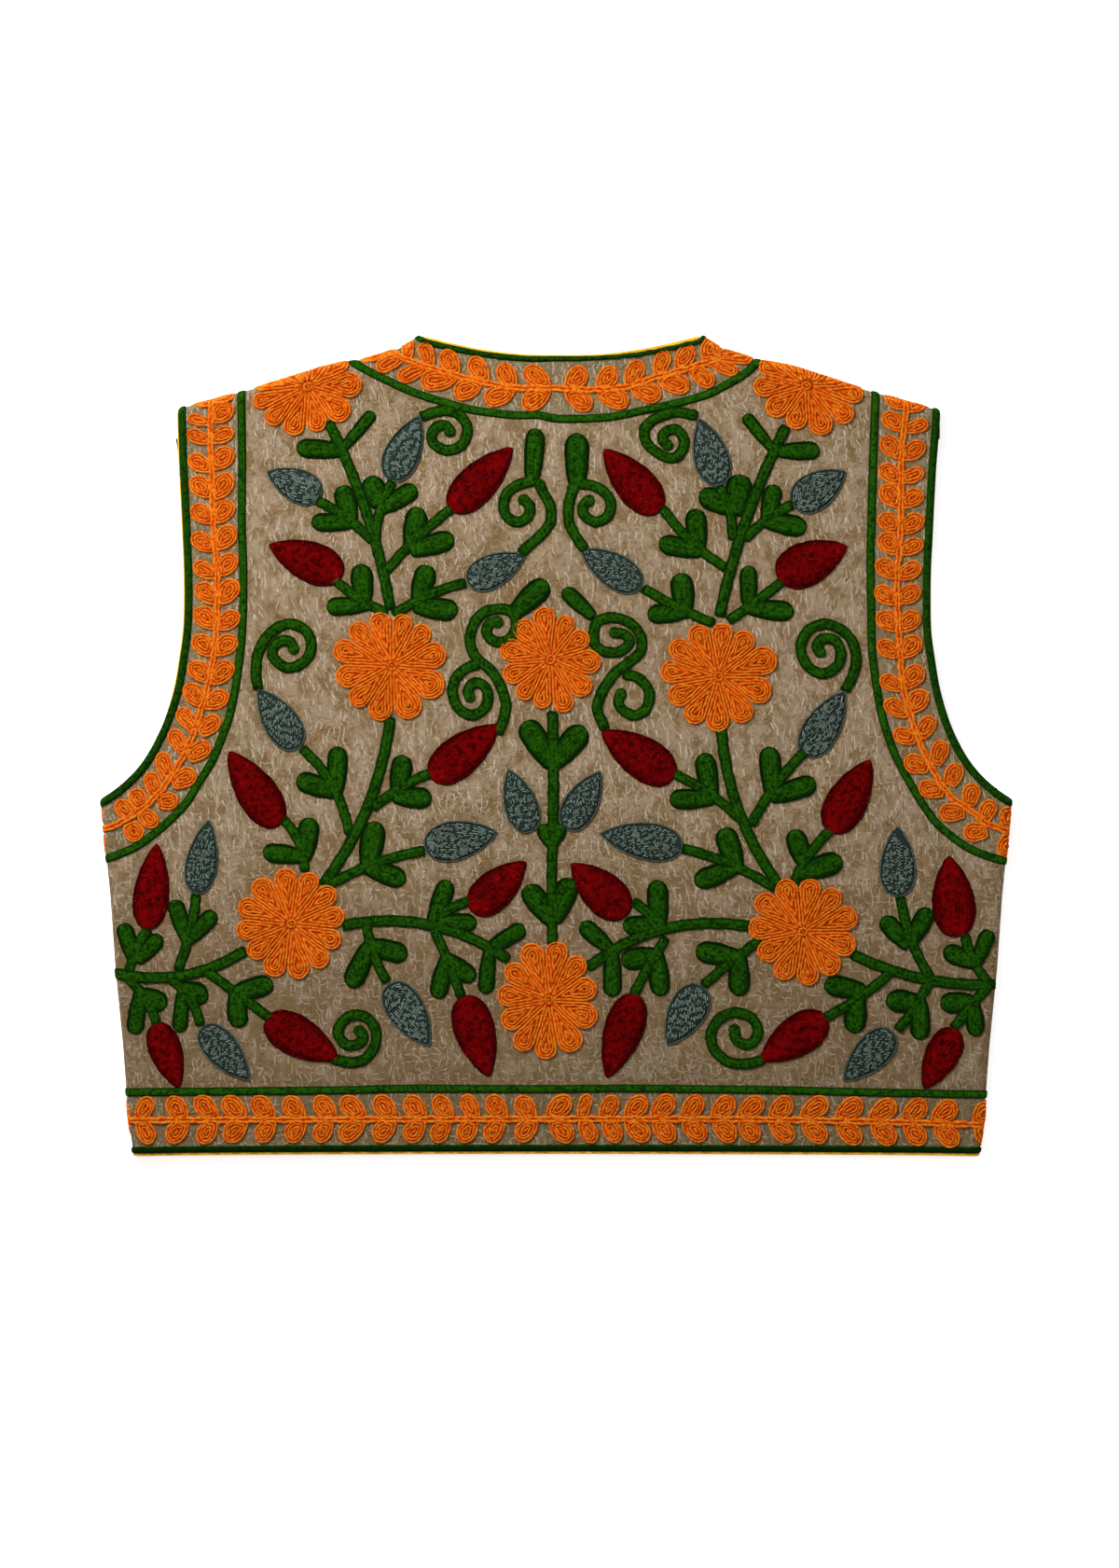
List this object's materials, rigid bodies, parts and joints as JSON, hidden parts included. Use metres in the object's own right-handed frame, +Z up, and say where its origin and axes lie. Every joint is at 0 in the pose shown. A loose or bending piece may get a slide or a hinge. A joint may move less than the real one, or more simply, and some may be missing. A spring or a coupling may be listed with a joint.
{
  "type": "embroidered waistcoat, a cropped sleeveless bolero, laid flat with its back upwards",
  "caption": "Cropped sleeveless bolero laid flat, back up, its slubbed cloth covered with raised chain-stitched flowers, buds and leaves inside leafy borders.",
  "frame": {"origin": "on the floor, under the middle of the garment's bounding box", "axes": "+X across the back, +Y from the hem towards the neck, +Z up off the surface that it lies on"},
  "size_m": [0.488, 0.44, 0.0076],
  "materials": {
    "slubbed_cloth": "matt, coarse slubbed weave",
    "green_thread": "matt, chain-stitched wool",
    "yellow_lining": "matt, plain weave",
    "orange_thread": "soft sheen, chain-stitched wool",
    "red_thread": "soft sheen, chain-stitched wool",
    "blue_grey_thread": "matt, chain-stitched wool"
  },
  "bodies": {
    "root": {"back": "slubbed_cloth", "front_left": "slubbed_cloth", "front_right": "slubbed_cloth", "binding_neck": "green_thread", "binding_armhole_left": "green_thread", "binding_armhole_right": "green_thread", "binding_hem": "green_thread", "binding_front_left": "green_thread", "binding_front_right": "green_thread", "binding_under_armhole_left": "green_thread", "binding_under_armhole_right": "green_thread", "lining_edge_neck": "yellow_lining", "lining_edge_armhole_left": "yellow_lining", "lining_edge_armhole_right": "yellow_lining", "lining_edge_hem": "yellow_lining"}
  },
  "joints": []
}
